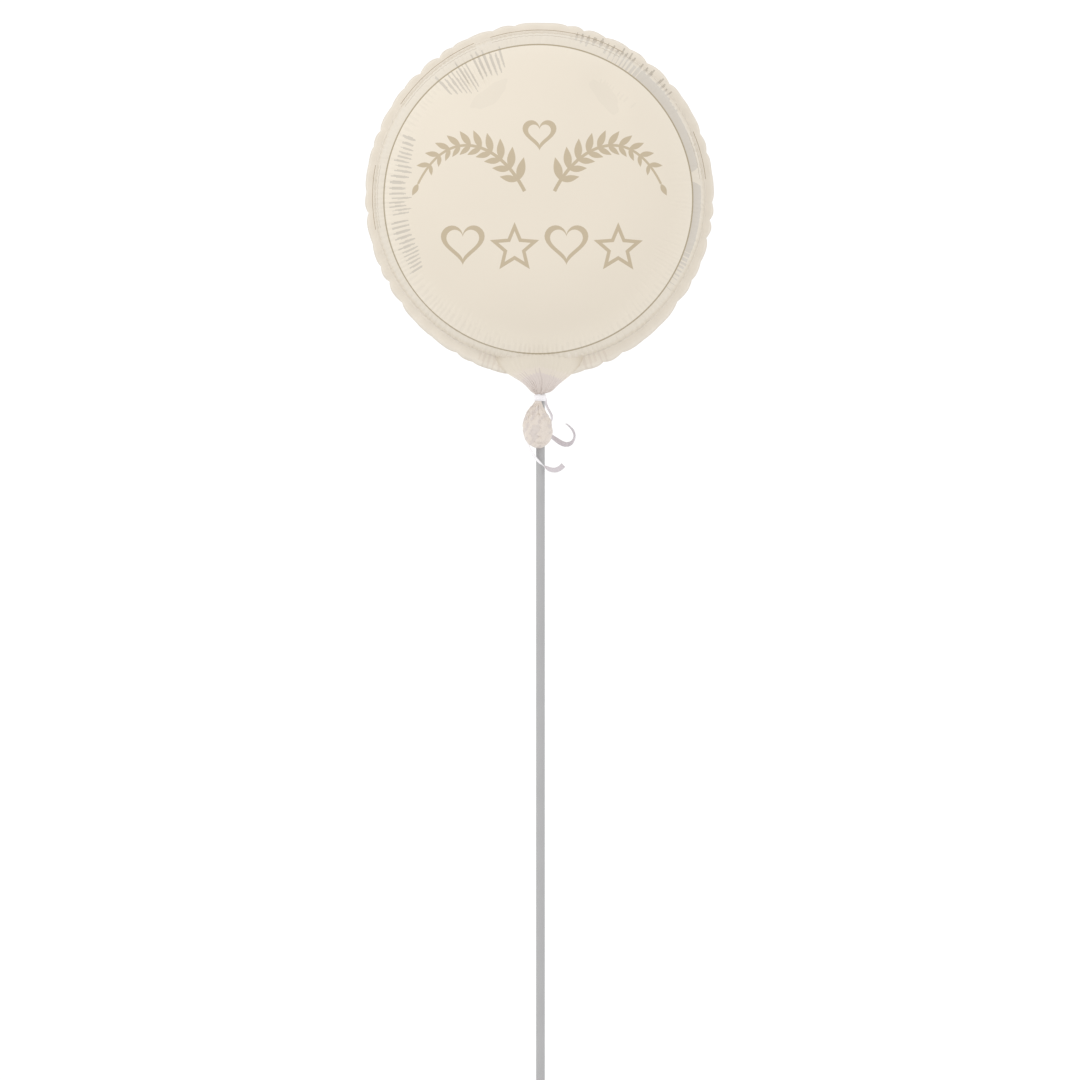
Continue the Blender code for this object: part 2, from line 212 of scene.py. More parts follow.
def add_noise(material, scale):
    """A noise texture over the object's own coordinates; returns its factor output."""
    nodes = material.node_tree.nodes
    coordinates = nodes.new("ShaderNodeTexCoord")
    texture = nodes.new("ShaderNodeTexNoise")
    texture.inputs["Scale"].default_value = scale
    material.node_tree.links.new(coordinates.outputs["Object"], texture.inputs["Vector"])
    return texture.outputs["Fac"]


def vary_colour(material, factor, first, second):
    nodes = material.node_tree.nodes
    links = material.node_tree.links
    ramp = nodes.new("ShaderNodeValToRGB")
    ramp.color_ramp.elements[0].position = 0.3
    ramp.color_ramp.elements[0].color = (*first, 1.0)
    ramp.color_ramp.elements[1].position = 0.7
    ramp.color_ramp.elements[1].color = (*second, 1.0)
    links.new(factor, ramp.inputs["Fac"])
    links.new(ramp.outputs["Color"], nodes["Principled BSDF"].inputs["Base Color"])


def vary_roughness(material, factor, low, high):
    nodes = material.node_tree.nodes
    links = material.node_tree.links
    span = nodes.new("ShaderNodeMapRange")
    span.inputs["To Min"].default_value = low
    span.inputs["To Max"].default_value = high
    links.new(factor, span.inputs["Value"])
    links.new(span.outputs["Result"], nodes["Principled BSDF"].inputs["Roughness"])


def add_bump(material, factor, distance, strength):
    nodes = material.node_tree.nodes
    links = material.node_tree.links
    bump = nodes.new("ShaderNodeBump")
    bump.inputs["Strength"].default_value = strength
    bump.inputs["Distance"].default_value = distance
    links.new(factor, bump.inputs["Height"])
    links.new(bump.outputs["Normal"], nodes["Principled BSDF"].inputs["Normal"])


def foil_material(name, colour, shift):
    """Pearly film: a satin print on thin metal, with a faint crinkle."""
    material = new_material(name, colour, 0.38, metallic=0.12, coat=0.15, coat_roughness=0.15)
    other = tuple(channel * shift for channel in colour)
    vary_colour(material, add_noise(material, 9.0), colour, other)
    vary_roughness(material, add_noise(material, 60.0), 0.34, 0.44)
    add_bump(material, add_noise(material, 420.0), distance=0.00003, strength=0.4)
    return material


def plain_material(name, colour, roughness, scale, shift, **extra):
    """A material whose colour and gloss vary only faintly."""
    material = new_material(name, colour, roughness, **extra)
    other = tuple(channel * shift for channel in colour)
    vary_colour(material, add_noise(material, scale), colour, other)
    vary_roughness(material, add_noise(material, scale * 3), roughness - 0.04, roughness + 0.04)
    return material


# Painted shade, a little darker than the film: over the dents, on faint pleats and on the neck's upper
# part
cream = foil_material("cream_foil", (0.775, 0.704, 0.588), 0.985)
print_ink = foil_material("taupe_print", (0.535, 0.445, 0.308), 0.97)
fine_ink = foil_material("fine_print", (0.420, 0.335, 0.220), 0.97)
ring_ink = foil_material("ring_print", (0.380, 0.310, 0.195), 0.97)
# Painted shade: the film's side beyond the ring line, darker than its face
rim_shade = foil_material("rim_shade", (0.715, 0.648, 0.540), 0.985)
faint_shade = foil_material("faint_shade", (0.748, 0.680, 0.568), 0.985)
# Painted shade in the pleats' valleys, drawn as strokes
crease_shade = foil_material("crease_shade", (0.600, 0.548, 0.465), 0.95)
# Painted reflection of a greyer side of the room, in the band beyond the ring line
shade_foil = foil_material("shade_foil", (0.595, 0.542, 0.466), 0.96)
seam_foil = foil_material("seam_foil", (0.825, 0.764, 0.664), 0.97)
# Painted pleat lines near the neck: lighter than the film's side as painted highlight, darker than the
# seam as painted shade
seam_highlight_and_shade = foil_material("seam_highlight_and_shade", (0.775, 0.705, 0.610), 0.97)
# The neck's film with painted shade: darker low down and in its folds' valleys, paler above
skirt_shade = foil_material("skirt_shade", (0.715, 0.637, 0.588), 0.97)
skirt_crease_shade = foil_material("skirt_crease_shade", (0.670, 0.595, 0.545), 0.97)
skirt_upper_shade = foil_material("skirt_upper_shade", (0.765, 0.690, 0.595), 0.98)
loose_foil = foil_material("loose_foil", (0.765, 0.690, 0.620), 0.96)
# Painted shade along the loose end's folds
loose_fold_shade = foil_material("loose_fold_shade", (0.700, 0.632, 0.585), 0.96)
ribbon_white = plain_material("ribbon_white", (0.93, 0.91, 0.93), 0.28, 240.0, 0.97, coat=0.3)
# Painted shade: a grey copy of the white ribbon, for the ribbon's other side
ribbon_shaded_side = plain_material("ribbon_shaded_side", (0.66, 0.61, 0.64), 0.35, 240.0, 0.94)
stick_grey = plain_material("stick_grey", (0.440, 0.440, 0.440), 0.55, 30.0, 0.96)
floor_white = plain_material("floor_white", (0.08, 0.08, 0.08), 0.9, 2.0, 0.99)

# The floor glows so that it is as white as the photo's background
floor_shader = floor_white.node_tree.nodes["Principled BSDF"]
floor_shader.inputs["Emission Color"].default_value = (1.0, 1.0, 1.0, 1.0)
floor_shader.inputs["Emission Strength"].default_value = 0.97


# The ribbon's loose ends

ROUTE_PARTS = 40


def smooth_route(points):
    """Points of an even cubic B-spline that starts and ends at the route's own ends."""
    points = [np.array(point, dtype=float) for point in points]
    held = [points[0]] * 2 + list(points) + [points[-1]] * 2
    fine = []
    for before, start, end, after in zip(held, held[1:], held[2:], held[3:]):
        for part in range(ROUTE_PARTS):
            t = part / ROUTE_PARTS
            fine.append((
                before * (1 - t) ** 3 + start * (3 * t ** 3 - 6 * t ** 2 + 4)
                + end * (-3 * t ** 3 + 3 * t ** 2 + 3 * t + 1) + after * t ** 3) / 6)
    fine.append(points[-1].copy())
    return fine


def evenly_spaced(fine, step):
    """The same route with points about a step apart, and its length."""
    points = np.array(fine)
    lengths = np.linalg.norm(np.diff(points, axis=0), axis=1)
    run = np.concatenate(([0.0], np.cumsum(lengths)))
    places = np.linspace(0.0, run[-1], round(run[-1] / step) + 1)
    even = np.stack([np.interp(places, run, column) for column in points.T], axis=1)
    return even, run[-1]


def ribbon_sections(route, leans, twists):
    """Across and flat directions of a ribbon that leans one way, then twists to the next."""
    ahead = directions(route)
    lean = np.array(leans[0])
    for twist, following in zip(twists, leans[1:]):
        turn = smoothstep(*twist, np.linspace(0.0, 1.0, len(route)))[:, None]
        lean = lean * (1 - turn) + np.array(following) * turn
    flat = np.cross(ahead, lean)
    flat /= np.linalg.norm(flat, axis=1)[:, None]
    across = np.cross(flat, ahead)
    return across, flat


def build_curl(name, offsets, leans, twists):
    """A flat curling ribbon, slightly cupped, white on one side and a grey copy as painted shade on the
    other.
    """
    knot = Vector((STICK_OFF_AXIS, TIE_Y, KNOT_Z))
    fine = smooth_route([knot + Vector(offset) for offset in offsets])
    route, length = evenly_spaced(fine, RIBBON_STEP)
    across, flat = ribbon_sections(route, leans, twists)
    wide = np.linspace(-1.0, 1.0, 7)
    cup = RIBBON_CUP * (wide ** 2 - 0.5)
    vertices = []
    for side in (1, -1):
        for place, rise in zip(wide * side, cup):
            lift = rise + side * RIBBON_THICKNESS / 2
            vertices.append(route + across * (place * RIBBON_WIDTH / 2) + flat * lift)
    vertices = np.stack(vertices, axis=1)
    count = vertices.shape[1]
    faces = []
    slots = []
    for index in range(len(route) - 1):
        for corner in range(count):
            after = (corner + 1) % count
            start = index * count
            faces.append((start + corner, start + after, start + count + after, start + count + corner))
            # One side takes the white, the other its grey copy as painted shade
            slots.append(1 if corner < len(wide) - 1 else 0)
    last = (len(route) - 1) * count
    faces.append(tuple(reversed(range(count))))
    faces.append(tuple(range(last, last + count)))
    slots += [0, 0]
    curl = new_piece(
        name.replace("ribbon_", ""), vertices.reshape(-1, 3), faces, [ribbon_white, ribbon_shaded_side],
        name, slots)


add_camera()
build_curl("ribbon_curl_upper", UPPER_CURL, UPPER_CURL_LEANS, UPPER_CURL_TWISTS)
build_curl("ribbon_curl_lower", LOWER_CURL, LOWER_CURL_LEANS, LOWER_CURL_TWISTS)


# The filled envelope

# How deep a filled disc is at each slope of its film, from the middle to the seam
SLOPES = np.linspace(0.0, math.pi / 2, 6001)
ROOTS = np.sqrt(np.sin(SLOPES))
DEPTHS = np.concatenate(([0.0], np.cumsum((ROOTS[1:] + ROOTS[:-1]) / 2 * np.diff(SLOPES))))
DEPTHS = SEAM_RADIUS / 2 * (DEPTHS[-1] - DEPTHS)


def frill_phase(angle):
    """The waves round the seam: uneven, as crimped foil is."""
    sway = 1.1 * np.sin(3 * angle + 0.8) + 0.9 * np.sin(8 * angle + 2.1)
    return FRILL_WAVES * angle + sway


def edge_radius(angle):
    """The cut edge: rounded lobes with small notches between them, wider round the neck."""
    phase = frill_phase(angle) + 0.6 + 0.75 * np.sin(17 * angle + 0.5)
    dip = 1 - np.abs(np.sin(phase / 2)) ** 0.75
    strength = 0.70 + 0.30 * np.sin(5 * angle + 1.3) + 0.50 * np.sin(13 * angle + 2.0)
    flare = NECK_FLARE * np.exp(-(wrapped(angle) / NECK_FLARE_SPREAD) ** 2)
    return EDGE_RADIUS + flare - EDGE_NOTCH * dip * np.clip(strength, 0.15, 1.3)


# How far a pleat of depth 1 folds in, and how much farther at the seam
PLEAT_FOLD, PLEAT_FOLD_AT_SEAM = 0.0005, 0.0002
LEAST_PLEAT = 0.35
random = np.random.default_rng(11)
PLEAT_DEPTHS = random.uniform(LEAST_PLEAT, 1.0, PLEATS)
PLEAT_STARTS = random.uniform(0.78, 0.93, PLEATS)

# Where pleats are long and deep: middle angle, half-width, how much deeper, how far in
PLEAT_GROUPS = (
    (208, 13, 2.2, 0.71), (274, 27, 1.6, 0.79), (140, 14, 0.9, 0.90), (118, 10, 0.3, 0.88),
    (0, 22, 1.2, 0.88), (152, 8, 1.4, 0.90), (325, 14, 0.3, 0.80), (60, 16, 0.2, 0.76),
    (92, 10, 0.3, 0.78), (186, 8, 0.8, 0.90))

# Painted pleat strokes, shade, and highlight near the neck: middle angle, half-width, from which share
# to which
STROKE_GROUPS = (
    (208, 15, 0.705, 0.968), (274, 30, 0.765, 0.906), (139, 13, 0.938, 1.036),
    (159, 10, 0.945, 1.030), (0, 24, 0.935, 1.060))

# Where pleats are painted only as faint shade, given the same way
FAINT_GROUPS = (
    (143, 11, 0.735, 0.800), (317, 24, 0.850, 0.930), (0, 28, 0.880, 0.930),
    (46, 18, 0.870, 0.930), (236, 13, 0.840, 0.930))


def wrapped(angle):
    """The angle's distance from zero, between minus and plus half a turn."""
    return (angle + math.pi) % math.tau - math.pi


def nearest_valley(angle):
    """The number of the valley that an angle is nearest to, and how deep in it, 0 to 1."""
    place = PLEATS / math.tau * angle + 0.6 * np.sin(5 * angle + 0.4) + 0.35 * np.sin(17 * angle)
    whole = np.floor(place)
    part = place - whole
    valley = np.mod(whole + (part > 0.5), PLEATS).astype(int)
    return valley, 1 - np.abs(np.sin(math.pi * part))


def boldness(valley):
    """How deep a pleat is among all pleats, from 0 to 1."""
    return (PLEAT_DEPTHS[valley] - LEAST_PLEAT) / (1 - LEAST_PLEAT)


def pleat_depth(angle, share):
    """How far the film folds in: sharp valleys between soft ridges, fading inwards."""
    valley, fold = nearest_valley(angle)
    depth = PLEAT_DEPTHS[valley]
    start = PLEAT_STARTS[valley]
    middle = valley * math.tau / PLEATS
    for group, width, deeper, inner in PLEAT_GROUPS:
        near = np.exp(-(wrapped(middle - math.radians(group)) / math.radians(width)) ** 2)
        depth = depth * (1 + deeper * near)
        start = start + (inner - start) * np.clip(near * 1.3, 0, 1) * 0.9
    # Near the seam no pleat is deeper than the rest, so that the edge stays round
    depth = np.minimum(depth, 1.0 + 2.0 * (1 - smoothstep(0.930, 0.965, share)))
    reach = smoothstep(start - 0.03, start + 0.08, share)
    return fold * depth * reach * (PLEAT_FOLD + PLEAT_FOLD_AT_SEAM * smoothstep(0.9, 1.0, share))


# The band outside the ring line, painted with the reflection of a greyer side of the room, in degrees:
# its ends, how long it fades there, its widest place, and a light gap across it. Then its shares
SHADE_FROM, SHADE_TO, SHADE_FADE = 54, 155, 16.0
SHADE_WIDEST, SHADE_WIDEST_SPREAD = 137, 13
SHADE_GAP = 97
SHADE_SHARES = (0.9335, 0.976)


def in_shade(angle, share):
    """Which places lie in the band of painted reflection, which breaks up along the pleats where it
    ends.
    """
    low, high = SHADE_SHARES
    turn = np.degrees(angle)
    valley, fold = nearest_valley(angle)
    fading = 1 - smoothstep(0.0, SHADE_FADE, np.minimum(turn - SHADE_FROM, SHADE_TO - turn))
    bulge = np.exp(-((turn - SHADE_WIDEST) / SHADE_WIDEST_SPREAD) ** 2)
    tooth = (0.004 + 0.016 * bulge) * boldness(valley) * (fold > 0.3)
    outer = high + 0.006 * bulge + tooth
    gap = np.abs(turn - SHADE_GAP) < 1.6 + 40 * (share - low)
    return (share > low) & (share < outer) & (fold >= 0.85 * fading) & (fading < 1) & ~gap


def in_stroke(angle, share, groups=STROKE_GROUPS):
    """Which places lie in a valley deep enough for a painted pleat stroke, thinner at its ends."""
    valley, fold = nearest_valley(angle)
    middle = valley * math.tau / PLEATS
    bold = boldness(valley)
    found = np.zeros(np.shape(fold), dtype=bool)
    for group, width, low, high in groups:
        off = np.abs(wrapped(middle - math.radians(group))) / math.radians(width)
        begins = low + (high - low) * (0.40 * off ** 2 + 0.40 * bold * (1 - off))
        ends = high - (high - low) * 0.22 * (1 - bold)
        along = (share - begins) / (ends - begins)
        thinner = 0.30 + 0.35 * np.abs(2 * along - 1) ** 2.5
        found |= (off < 1) & (along > 0) & (along < 1) & (fold > thinner)
    return found & (bold > 0.05)


# Soft dents of the face: across, up, width, depth, as millimetres
DENTS = (
    (-64, 103, 15, 3.4), (-44, 90, 22, 1.8), (60, 108, 17, 3.4), (74, 94, 14, 2.6),
    (0, 124, 34, -0.8), (112, -72, 34, 2.2), (-104, -78, 30, 2.0), (10, -112, 40, -0.7))


def face_dents(x, y):
    """How far the face is dented in at places of it."""
    total = np.zeros_like(x)
    for across, up, width, depth in DENTS:
        far = ((x - across / 1000) ** 2 + (y - up / 1000) ** 2) / (width / 1000) ** 2
        total += depth / 1000 * np.exp(-far)
    return total


SOFT_WAVE = 0.00016


def soft_waves(x, y):
    """The film is never quite even: long shallow waves, under half a millimetre."""
    return SOFT_WAVE * (
        np.sin(41 * x + 23 * y + 0.4) + np.sin(-29 * x + 47 * y + 1.9)
        + 0.6 * np.sin(83 * x - 61 * y + 2.7) + 0.5 * np.sin(57 * x + 97 * y + 0.9))


def skin_point(angle, share, side):
    """A point of the filled skin; share is the radius over the seam's, side 1 is the face."""
    slope = np.arcsin(np.clip(share, 0.0, 1.0) ** 2)
    radius = SEAM_RADIUS * np.clip(share, 0.0, 1.0)
    depth = np.interp(slope, SLOPES, DEPTHS)
    fold = pleat_depth(angle, share)
    x, y = across_and_up(radius, angle)
    fold = fold + soft_waves(side * x, y) * (1 - smoothstep(0.9, 1.0, share))
    if side > 0:
        fold = fold + face_dents(x, y)
    # Folds go straight down, so that the ring line stays round, and sideways only near the seam
    sideways = smoothstep(0.945, 0.968, share)
    radius = radius - fold * np.sin(slope) * sideways
    depth = depth - fold * (np.cos(slope) + (1 - sideways) * np.sin(slope) ** 2 / np.cos(slope * 0.95))
    shake = SEAM_WAVE * smoothstep(0.93, 1.0, share) * np.sin(frill_phase(angle))
    height = side * np.maximum(depth, SEAM_HALF_THICKNESS) + shake
    return np.stack((*across_and_up(radius, angle), height), axis=-1)


def frill_point(angle, share, side):
    """A point of the crimped seam; share runs from the filled part to the edge."""
    radius = SEAM_RADIUS + SEAM_WIDTH * share + (edge_radius(angle) - EDGE_RADIUS) * share ** 2
    radius = radius - pleat_depth(angle, np.ones_like(angle)) * np.clip(1 - share / 0.13, 0, 1)
    wave = np.sin(frill_phase(angle)) * (SEAM_WAVE + SEAM_WAVE * share ** 1.3)
    return np.stack((*across_and_up(radius, angle), wave + side * SEAM_HALF_THICKNESS), axis=-1)


# The envelope's columns, and its rings: film by slope in degrees, seam by share of its width
ANGLES = around(COLUMNS)
BETWEEN = ANGLES + math.pi / COLUMNS
FACE_SLOPES = (46.5, 49, 51.5, 54, 56.5, 61, 63.5, 66, 67.7, 69.3, 71, 74.5, 77, 81, 84, 87, 89.3)
BACK_SLOPES = (49, 54, 59, 64, 69, 74, 79, 84, 88)
FRONT_FRILL_SHARES = (0.0, 0.13, 0.19, 0.40, 0.68, 1.0)
BACK_FRILL_SHARES = (0.0, 0.40, 0.68, 1.0)

# Radius shares and counts of the plain middle of the back, from outside in
BACK_INNER_RINGS = (
    (0.80, COLUMNS), (0.765, COLUMNS), (0.72, COLUMNS // 2), (0.64, COLUMNS // 2),
    (0.56, COLUMNS // 4), (0.48, COLUMNS // 4), (0.40, COLUMNS // 4), (0.32, COLUMNS // 8),
    (0.24, COLUMNS // 8), (0.16, COLUMNS // 16), (0.08, COLUMNS // 32))

# The columns where the fine lines of the rim are drawn
FINE_LINE_COLUMNS = np.zeros(COLUMNS, dtype=bool)
for low, high in FINE_LINE_ARCS:
    FINE_LINE_COLUMNS |= (np.degrees(ANGLES) > low) & (np.degrees(ANGLES) < high)

# The envelope's materials and their slots
ENVELOPE_MATERIALS = [
    cream, print_ink, ring_ink, fine_ink, rim_shade, faint_shade, crease_shade, shade_foil, seam_foil,
    seam_highlight_and_shade]
(CREAM, PRINT_INK, RING_INK, FINE_INK, RIM_SHADE, FAINT_SHADE, CREASE_SHADE, SHADE, SEAM_FOIL,
 SEAM_HIGHLIGHT_AND_SHADE) = range(len(ENVELOPE_MATERIALS))


def skin_slots(share, side):
    """The film's slots round a ring of faces: plain, or painted shade, pleat strokes and reflection."""
    if side < 0:
        return CREAM
    faint = in_stroke(BETWEEN, share, FAINT_GROUPS)
    # Painted shade: darker beyond the ring line, a little darker on faint pleats; the greyer band is a
    # painted reflection
    plain = np.where(faint, FAINT_SHADE, RIM_SHADE if share > RING_LINE_SHARE else CREAM)
    plain = np.where(in_shade(BETWEEN, share), SHADE, plain)
    # Pleat strokes: painted highlights by the neck, where they are lighter than the rim, and painted
    # shade elsewhere
    strokes = np.where(np.cos(BETWEEN) > 0.6, SEAM_HIGHLIGHT_AND_SHADE, CREASE_SHADE)
    return np.where(in_stroke(BETWEEN, share), strokes, plain)


class Skin:
    """Collects the envelope's points and faces."""

    def __init__(self):
        self.points = []
        self.faces = []
        self.slots = []
        self.count = 0

    def add(self, points):
        self.points.append(points)
        first = self.count
        self.count += len(points)
        return np.arange(first, self.count)

    def face(self, corners, slot=CREAM):
        self.faces.append(tuple(int(corner) for corner in corners))
        self.slots.append(slot)

    def band(self, inner, outer, side, slots=CREAM):
        """Faces between two rings, the outer with as many points or twice as many."""
        count = len(inner)
        slots = np.broadcast_to(slots, count)
        after = np.roll(inner, -1)
        if len(outer) == count:
            for slot, *quad in zip(slots, inner, outer, np.roll(outer, -1), after):
                self.face(quad[::side], slot)
            return
        for index in range(count):
            start = outer[2 * index]
            middle = outer[2 * index + 1]
            end = outer[(2 * index + 2) % len(outer)]
            self.face((inner[index], start, middle)[::side], slots[index])
            self.face((inner[index], middle, after[index])[::side], slots[index])
            self.face((after[index], middle, end)[::side], slots[index])


def offset_shares(share):
    """A ring's shares round the face, moved with the print most of all at the ring line."""
    weight = np.interp(share, (PRINT_DISC_SHARE, RING_LINE_SHARE, 1.0), (0.0, 1.0, 0.0))
    across, up = RING_OFFSET
    return share + weight * (across * np.sin(ANGLES) - up * np.cos(ANGLES)) / SEAM_RADIUS


def outer_rings(skin, side):
    """Rings from the edge of the print's disc out to the seam, with their radius shares."""
    shares = np.sqrt(np.sin(np.radians(FACE_SLOPES if side > 0 else BACK_SLOPES)))
    if side > 0:
        half = RING_LINE_WIDTH / 2 / SEAM_RADIUS
        line = (RING_LINE_SHARE - half, RING_LINE_SHARE + half)
        shares = np.sort(np.concatenate((shares, line) + FINE_LINE_SHARES))
    rings = []
    for share in shares:
        moved = offset_shares(share) if side > 0 else np.full(COLUMNS, share)
        rings.append(skin.add(skin_point(ANGLES, moved, side)))
    return rings, shares


# The print's shapes, in millimetres from the middle of the face

SPRIG_BEND = ((15, 3), (40, 53), (92, 72), (122, 11))
LEAVES = 10

# Patches of painted shade over the two dents: across, up, width, height, and lean in degrees
DENT_SHADE_PATCHES = ((-50, 100, 44, 17, 38), (66, 99, 42, 17, -52))

# The disc's grid: its spacing in metres, and how far it keeps from outlines in millimetres
GRID_SPACING = 0.0034
GRID_CLEARANCE = 0.7


def leaf(x, y, direction, length, width):
    """A pointed leaf that starts at a point of its stem."""
    along = np.linspace(0.0, 1.0, 13)
    half = width / 2 * np.sin(math.pi * along ** 0.85)
    outline = np.concatenate((
        np.stack((along * length, half), axis=1),
        np.stack((along * length, -half), axis=1)[-2:0:-1]))
    return turned(outline, direction) + (x, y)


def stroke(line, widths):
    """The outline of a line drawn with a pen that may change its width."""
    ahead = directions(line)
    beside = np.stack((-ahead[:, 1], ahead[:, 0]), axis=1) * (widths / 2)[:, None]
    return np.concatenate((line + beside, (line - beside)[::-1]))


def heart(x, y, size):
    t = around(48)
    across = 16 * np.sin(t) ** 3
    up = 13 * np.cos(t) - 5 * np.cos(2 * t) - 2 * np.cos(3 * t) - np.cos(4 * t)
    return np.stack((across, up + 2.5), axis=1) * (size / 32) + (x, y)


def star(x, y, size):
    """A star of five points."""
    turns = around(10)
    reach = np.where(np.arange(10) % 2 == 0, size / 2, size / 2 * 0.45)
    return np.stack((np.sin(turns) * reach, np.cos(turns) * reach), axis=1) + (x, y)


def sprig(mirror):
    """One leafy branch of the ornament; mirror is 1 for the right one and -1 for the left."""
    t = np.linspace(0.0, 1.0, 80)
    bend = np.array(SPRIG_BEND, dtype=float)
    weights = np.stack(((1 - t) ** 3, 3 * t * (1 - t) ** 2, 3 * t ** 2 * (1 - t), t ** 3), axis=1)
    x, y = (weights @ bend).T
    shapes = [stroke(np.stack((x * mirror, y), axis=1), 3.6 - 1.4 * t)]
    slope = np.degrees(np.arctan2(np.gradient(y), np.gradient(x)))
    for number in range(LEAVES):
        place = 6 + number * 7
        for side in (1, -1):
            length = (24 - 1.1 * number) * (1.0 if side > 0 else 0.80)
            shape = leaf(x[place], y[place], slope[place] + side * 46, length, length * 0.36)
            shapes.append(shape * (mirror, 1))
    shapes.append(leaf(x[-1], y[-1], slope[-1], 13, 5.5) * (mirror, 1))
    return shapes


def print_shapes():
    """Solid shapes of the print, and the holes cut in them."""
    solids = sprig(1) + sprig(-1)
    holes = []
    solids.append(heart(0, 59, 34))
    holes.append(heart(0, 59.6, 23))
    for number in range(4):
        x = -77 + 52 * number
        if number % 2 == 0:
            solids.append(heart(x, -51, 44))
            holes.append(heart(x, -50.3, 33))
        else:
            solids.append(star(x, -54, 52))
            holes.append(star(x, -54, 34))
    return solids, holes


def dent_shade_shapes():
    """Outlines of the painted shade over the two shallow dents of the film above the print."""
    shapes = []
    for x, y, width, height, lean in DENT_SHADE_PATCHES:
        t = around(40)
        ragged = 1 + 0.10 * np.sin(3 * t + x) + 0.05 * np.sin(7 * t)
        oval = np.stack((width / 2 * ragged * np.cos(t), height / 2 * ragged * np.sin(t)), axis=1)
        shapes.append(turned(oval, lean) + (x, y))
    return shapes


def inside(shape, points):
    """Which points are inside an outline, by counting crossings."""
    result = np.zeros(len(points), dtype=bool)
    x, y = points[:, 0], points[:, 1]
    for (x0, y0), (x1, y1) in zip(shape, np.roll(shape, -1, axis=0)):
        if y0 == y1:
            continue
        crosses = (y0 > y) != (y1 > y)
        result ^= crosses & (x < (x1 - x0) * (y - y0) / (y1 - y0) + x0)
    return result


def away_from_outlines(points, shapes, distance):
    """The points that are farther than a distance from every outline."""
    keep = np.ones(len(points), dtype=bool)
    for shape in shapes:
        low, high = shape.min(axis=0) - distance, shape.max(axis=0) + distance
        near = np.nonzero(np.all((points > low) & (points < high), axis=1) & keep)[0]
        for start, end in zip(shape, np.roll(shape, -1, axis=0)):
            along = end - start
            share = np.clip(((points[near] - start) @ along) / (along @ along), 0.0, 1.0)
            gap = np.linalg.norm(points[near] - start - share[:, None] * along, axis=1)
            keep[near[gap < distance]] = False
    return points[keep]


def disc_grid():
    """Even points of the print's disc, closer together where the pleats are."""
    rings = []
    share = PRINT_DISC_SHARE - 0.010
    odd = False
    while share > 0.03:
        if share > 0.695:
            count, step = COLUMNS, 0.0115
        elif share > 0.58:
            count, step = COLUMNS // 2, 0.016
        else:
            count, step = max(12, int(math.tau * share * SEAM_RADIUS / GRID_SPACING)), 0.020
        angle = (np.arange(count) + (0.5 if odd else 0.0)) * math.tau / count
        rings.append(np.stack(across_and_up(share * SEAM_RADIUS * 1000, angle), axis=1))
        share -= step
        odd = not odd
    rings.append(np.zeros((1, 2)))
    return np.concatenate(rings)


def cut_disc(shapes):
    """The disc's places and triangles, cut along outlines, and which rim point a place is, or -1."""
    rim = np.stack(across_and_up(PRINT_DISC_SHARE * SEAM_RADIUS * 1000, ANGLES), axis=1)
    grid = away_from_outlines(disc_grid(), shapes, GRID_CLEARANCE)
    edges = [(index, (index + 1) % COLUMNS) for index in range(COLUMNS)]
    first = COLUMNS + len(grid)
    for shape in shapes:
        count = len(shape)
        edges += [(first + index, first + (index + 1) % count) for index in range(count)]
        first += count
    flat = np.concatenate([rim, grid] + shapes)
    cut = delaunay_2d_cdt([Vector(point) for point in flat.tolist()], edges, [], 0, 1e-5, True)
    places = np.array([tuple(point) for point in cut[0]])
    triangles = np.array([tuple(face) for face in cut[2]])
    rim_of = np.full(len(places), -1)
    for index, sources in enumerate(cut[3]):
        for source in sources:
            if source < COLUMNS:
                rim_of[index] = source
    return places, triangles, rim_of


def angle_and_share(places):
    """The angle and the radius share of places on the face, given in millimetres."""
    x, y = places.T
    return np.arctan2(x, -y), np.hypot(x, y) / 1000 / SEAM_RADIUS


def disc_slots(middles, solids, holes, dent_shades):
    """The slots of the disc's triangles, from where their middles are."""
    inked = np.zeros(len(middles), dtype=bool)
    for shape in solids:
        inked |= inside(shape, middles)
    for shape in holes:
        inked &= ~inside(shape, middles)
    angle, share = angle_and_share(middles)
    # Painted shade: faint pleats and the patches over the dents a little darker, pleat strokes darker
    # still
    faint = in_stroke(angle, share, FAINT_GROUPS)
    for shape in dent_shades:
        faint |= inside(shape, middles)
    strokes = in_stroke(angle, share)
    return np.where(inked, PRINT_INK, np.where(strokes, CREASE_SHADE, np.where(faint, FAINT_SHADE, CREAM)))


def print_disc(skin):
    """The face inside the outer rings, cut along the outlines of the print; returns its rim."""
    solids, holes = print_shapes()
    dent_shades = dent_shade_shapes()
    places, triangles, rim_of = cut_disc(solids + holes + dent_shades)
    slots = disc_slots(places[triangles].mean(axis=1), solids, holes, dent_shades)
    points = skin_point(*angle_and_share(places), 1)
    on_rim = rim_of >= 0
    rim_angles = ANGLES[rim_of[on_rim]]
    points[on_rim] = skin_point(rim_angles, np.full(len(rim_angles), PRINT_DISC_SHARE), 1)
    numbers = skin.add(points)
    for corners, slot in zip(numbers[triangles], slots):
        skin.face(corners, slot)
    rim_numbers = np.empty(COLUMNS, dtype=int)
    rim_numbers[rim_of[on_rim]] = numbers[on_rim]
    return rim_numbers


def back_disc(skin):
    """The plain middle of the back; returns its rim."""
    rim = skin.add(skin_point(ANGLES, np.full(COLUMNS, PRINT_DISC_SHARE), -1))
    outer = rim
    for share, count in BACK_INNER_RINGS:
        ring = skin.add(skin_point(around(count), np.full(count, share), -1))
        skin.band(ring, outer, -1)
        outer = ring
    middle = skin.add(skin_point(np.zeros(1), np.zeros(1), -1))[0]
    for start, end in zip(outer, np.roll(outer, -1)):
        skin.face((end, start, middle))
    return rim


